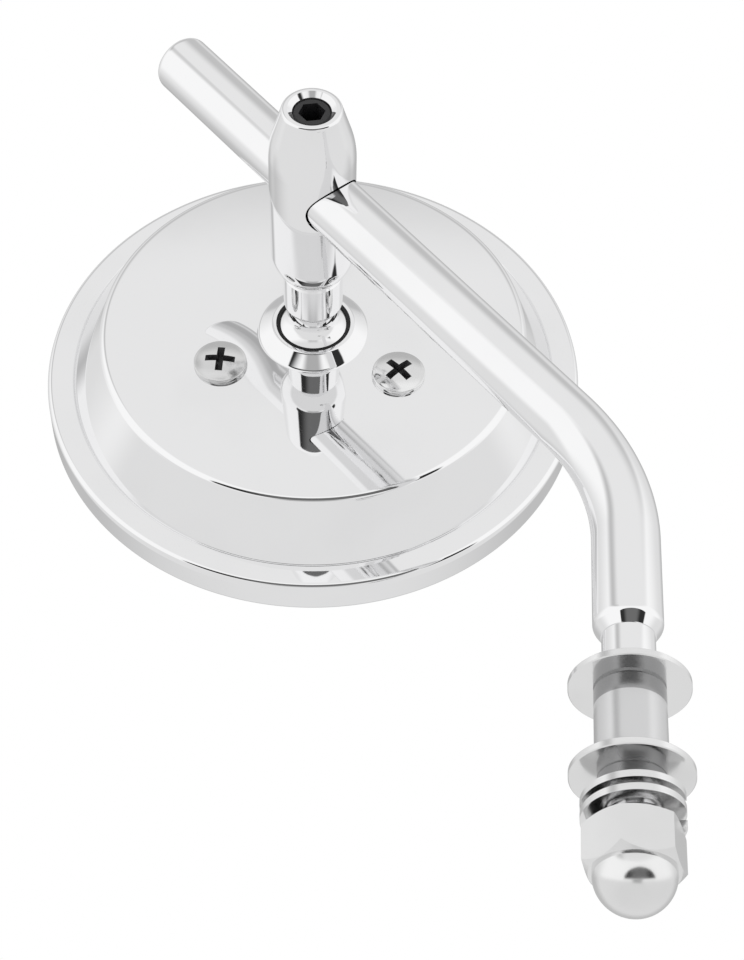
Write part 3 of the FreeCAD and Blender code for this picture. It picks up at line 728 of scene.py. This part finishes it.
def to_cross_floor(point):
    """Moves a point of the cross's mouth down and in to its floor."""
    return Vector((point.x * CROSS_TAPER, point.y * CROSS_TAPER, HEAD_CROWN - CROSS_DEPTH))


def cross_mouth(tool):
    """Outline of the cross on the dome: one arm's end, turned three times."""
    half = CROSS_WIDTH / 2
    tip = CROSS_LEN / 2
    corners = ((half, half), (tip, half), (tip, -half), (half, -half))
    arm = [tool.verts.new((*corner, 0.0)) for corner in corners]
    outline = [tool.edges.new(pair) for pair in zip(arm, arm[1:])]
    bmesh.ops.spin(
        tool,
        geom=arm + outline,
        cent=(0.0, 0.0, 0.0),
        axis=(0.0, 0.0, 1.0),
        angle=math.radians(270.0),
        steps=3,
        use_duplicate=True,
    )
    bmesh.ops.remove_doubles(tool, verts=tool.verts, dist=0.01)
    bmesh.ops.subdivide_edges(tool, edges=tool.edges[:], cuts=CROSS_CUTS)
    for point in tool.verts:
        point.co.z = dome_height(point.co.xy.length)
    return tool.edges[:]


def cross_screw(name, around, cross_turn):
    """Screw grown from the mouth of its cross: inwards the recess, outwards the dome and shank."""
    tool = bmesh.new()
    loop = cross_mouth(tool)
    floor = grow(tool, loop, to_cross_floor)
    bmesh.ops.edgeloop_fill(tool, edges=floor)
    recess = set(tool.faces)

    crown_r = HEAD_R - HEAD_EDGE
    for steps_left in range(HEAD_RINGS, 0, -1):
        loop = grow(tool, loop, over_dome(crown_r, steps_left))
    edge_z = dome_height(crown_r) - HEAD_EDGE
    for step in range(1, HEAD_EDGE_STEPS + 1):
        lean = math.pi / 2 * step / HEAD_EDGE_STEPS
        radius = crown_r + HEAD_EDGE * math.sin(lean)
        loop = grow(tool, loop, to_ring(radius, edge_z + HEAD_EDGE * math.cos(lean)))
    for radius, height in (
        (HEAD_R, HEAD_FOOT_BEVEL),
        (HEAD_R - HEAD_FOOT_BEVEL, 0.0),
        (SCREW_R, 0.0),
        (SCREW_R, SCREW_TIP_BEVEL - SCREW_LEN),
        (SCREW_R - SCREW_TIP_BEVEL, -SCREW_LEN),
    ):
        loop = grow(tool, loop, to_ring(radius, height))
    bmesh.ops.edgeloop_fill(tool, edges=loop)
    # The recess faces get the painted shade, the rest the screw's plating.
    for face in tool.faces:
        face.material_index = 1 if face in recess else 0

    on_head(tool, screw_place(around), cross_turn)
    materials = [screw_plating, recess_shade]
    finish_piece(name + "_domed", tool, materials, "head", name)


threaded_stem()
rolled_bezel()
pressed_shell()
for screw in SCREWS:
    cross_screw(*screw)

# Camera at the photograph's viewing angle; place in metres, turn in degrees

CAMERA_PLACE = (0.05502, 0.25346, -0.17882)
CAMERA_TURN = (131.015, -3.169, 173.728)
CAMERA_LENS = 81.94
CAMERA_SENSOR = 36.0

camera_data = bpy.data.cameras.new("photo_camera")
camera = bpy.data.objects.new("photo_camera", camera_data)
bpy.context.scene.collection.objects.link(camera)
camera.location = CAMERA_PLACE
camera.rotation_euler = [math.radians(turn) for turn in CAMERA_TURN]
camera_data.sensor_fit = "VERTICAL"
camera_data.sensor_height = CAMERA_SENSOR
camera_data.lens = CAMERA_LENS
camera_data.clip_start = 0.01
bpy.context.scene.camera = camera

# White light tent: bright walls beside the camera, a dimmer roof, table and back wall, and the
# dark arched opening that the camera looks through. Straight to the camera it is plain white.
# Places in the tent are shares of a direction along its three axes, from -1 to 1.

TENT_RIGHT = Vector((-0.9925, 0.1091, 0.0553))
TENT_UP = Vector((0.1132, 0.6478, 0.7534))
TENT_FRONT = Vector((0.0464, 0.7540, -0.6553))
WALL_LEVEL = 1.03
BACK_LEVEL = 0.48
BACK_SIDE_LEVEL = 0.78
ROOF_LEVEL = 0.87
ROOF_BACK_LEVEL = 0.58
ROOF_LEFT_LEVEL = 0.56
TABLE_LEVEL = 0.80
TABLE_BACK_LEVEL = 0.55
TABLE_EDGE_LEVEL = 0.45
OPENING_LEVEL = 0.16
OPENING_SIDE_LEVEL = 0.03
OPENING_ACROSS = 0.09
OPENING_HALF_WIDTH = 0.67
OPENING_LOW = -0.083
OPENING_HEIGHT = 0.60
FLOOR_PLACE = (0.05, 0.0, -0.55)
FLOOR_R = 0.34


def tent_opening(tree, across, up, front):
    """How far a direction lies in the arched opening, and how bright the opening is there."""
    shares = []
    for value, middle, half in (
        (across, OPENING_ACROSS, OPENING_HALF_WIDTH),
        (up, OPENING_LOW, OPENING_HEIGHT),
    ):
        share = math_node(tree, "DIVIDE", math_node(tree, "SUBTRACT", value, middle), half)
        shares.append(math_node(tree, "POWER", math_node(tree, "ABSOLUTE", share), 2.0))
    wide, tall = shares
    arch = ramp_step(tree, math_node(tree, "ADD", wide, tall), 1.06, 0.94)
    sill = ramp_step(tree, up, -0.04, 0.04)
    facing = ramp_step(tree, front, 0.0, 0.3)
    inside = math_node(tree, "MULTIPLY", math_node(tree, "MULTIPLY", arch, sill), facing)
    bright = ramp_step(tree, wide, 0.08, 0.45, OPENING_LEVEL, OPENING_SIDE_LEVEL)
    return inside, bright


def table_edge(tree, across, up, front):
    """How far a direction lies in the shaded edge of the table, below the opening."""
    middle = ramp_step(tree, math_node(tree, "ABSOLUTE", across), 0.3, 0.12)
    near = math_node(tree, "MULTIPLY", middle, ramp_step(tree, front, 0.0, 0.3))
    low = ramp_step(tree, up, -0.24, -0.12)
    high = ramp_step(tree, up, -0.04, 0.0, 1.0, 0.0)
    return math_node(tree, "MULTIPLY", near, math_node(tree, "MULTIPLY", low, high))


def tent_world():
    """World that shines as the tent does, and white where the camera sees it."""
    world = bpy.data.worlds.new("light_tent")
    bpy.context.scene.world = world
    world.use_nodes = True
    tree = world.node_tree
    tree.nodes.clear()
    place = add(tree, "ShaderNodeTexCoord").outputs["Generated"]
    across = vector_node(tree, "DOT_PRODUCT", place, TENT_RIGHT)["Value"]
    up = vector_node(tree, "DOT_PRODUCT", place, TENT_UP)["Value"]
    front = vector_node(tree, "DOT_PRODUCT", place, TENT_FRONT)["Value"]

    back = ramp_step(tree, front, -0.97, -0.70, BACK_LEVEL, BACK_SIDE_LEVEL)
    walls = blend(tree, ramp_step(tree, front, -0.70, 0.0), back, WALL_LEVEL)
    roof = ramp_step(tree, front, -0.34, 0.08, ROOF_BACK_LEVEL, ROOF_LEVEL)
    roof = blend(tree, ramp_step(tree, across, -0.62, -0.42), ROOF_LEFT_LEVEL, roof)
    walls = blend(tree, ramp_step(tree, up, 0.64, 0.80), walls, roof)
    table = ramp_step(tree, front, -0.85, -0.35, TABLE_BACK_LEVEL, TABLE_LEVEL)
    tent = blend(tree, ramp_step(tree, up, -0.22, 0.0), table, walls)
    tent = blend(tree, table_edge(tree, across, up, front), tent, TABLE_EDGE_LEVEL)
    inside, bright = tent_opening(tree, across, up, front)
    tent = blend(tree, inside, tent, bright)

    rays = add(tree, "ShaderNodeLightPath").outputs
    light = add(tree, "ShaderNodeBackground")
    light.inputs["Color"].default_value = (1.0, 1.0, 1.0, 1.0)
    feed(tree, light.inputs["Strength"], blend(tree, rays["Is Camera Ray"], tent, 1.0))
    out = add(tree, "ShaderNodeOutputWorld")
    tree.links.new(light.outputs["Background"], out.inputs["Surface"])


def pale_floor():
    """Plain pale table far below the mirror, which its bracket would hold up."""
    bpy.ops.mesh.primitive_circle_add(
        vertices=96,
        radius=FLOOR_R,
        fill_type="NGON",
        location=FLOOR_PLACE,
    )
    floor = bpy.context.object
    floor.name = "pale_floor"
    material, tree, shader, place = new_material("pale_floor")
    shader.inputs["Base Color"].default_value = (0.8, 0.8, 0.8, 1.0)
    grain = noise(tree, place, 300.0, 2.0)
    tree.links.new(ramp_step(tree, grain, 0.3, 0.7, 0.75, 0.85), shader.inputs["Roughness"])
    rays = add(tree, "ShaderNodeLightPath").outputs
    mirrored = math_node(tree, "MAXIMUM", rays["Is Glossy Ray"], rays["Is Transmission Ray"])
    seen = math_node(tree, "MAXIMUM", rays["Is Camera Ray"], mirrored)
    glow = add(tree, "ShaderNodeEmission")
    glow.inputs["Color"].default_value = (1.0, 1.0, 1.0, 1.0)
    feed(tree, glow.inputs["Strength"], blend(tree, rays["Is Camera Ray"], TABLE_LEVEL, 1.0))
    mix = add(tree, "ShaderNodeMixShader")
    tree.links.new(seen, mix.inputs[0])
    tree.links.new(shader.outputs["BSDF"], mix.inputs[1])
    tree.links.new(glow.outputs["Emission"], mix.inputs[2])
    tree.links.new(mix.outputs["Shader"], tree.nodes["Material Output"].inputs["Surface"])
    floor.data.materials.append(material)


tent_world()
pale_floor()

bpy.context.scene.view_settings.view_transform = "Standard"
